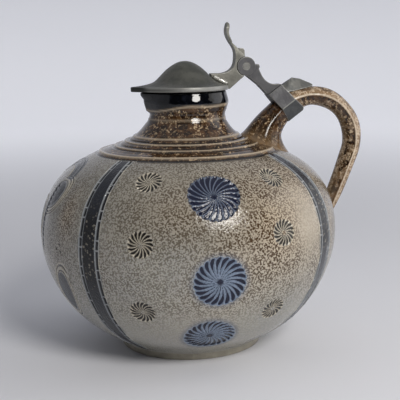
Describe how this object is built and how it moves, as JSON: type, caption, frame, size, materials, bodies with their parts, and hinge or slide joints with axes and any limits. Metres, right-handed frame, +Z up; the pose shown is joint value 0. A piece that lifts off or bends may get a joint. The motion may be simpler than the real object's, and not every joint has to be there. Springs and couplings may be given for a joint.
{
  "type": "lidded stoneware jug",
  "caption": "Globular salt-glazed stoneware beer jug with a pulled loop handle and a domed pewter lid that hinges open on a thumb lever.",
  "frame": {"origin": "centre of the flat foot, on the surface the jug stands on", "axes": "+Z up, +X towards the handle, the pouring lip points to -X"},
  "size_m": [0.213, 0.19, 0.2063],
  "materials": {
    "stoneware": "gloss",
    "brown_glaze": "gloss",
    "pewter": "satin",
    "solder": "satin"
  },
  "bodies": {
    "jug": {"jug_body": "stoneware", "handle": "brown_glaze", "hinge_shank": "pewter", "hinge_pin": "pewter", "strap_band": "pewter", "strap_tongue": "pewter"},
    "lid": {"lid_shell": "pewter", "thumb_lever": "pewter", "lid_solder": "solder"}
  },
  "joints": [
    {"name": "lid_hinge", "type": "hinge", "parent": "jug", "child": "lid", "pos_m": [0.0396, 0, 0.1782], "axis": [0, 1, 0], "range_deg": [0, 85]}
  ]
}
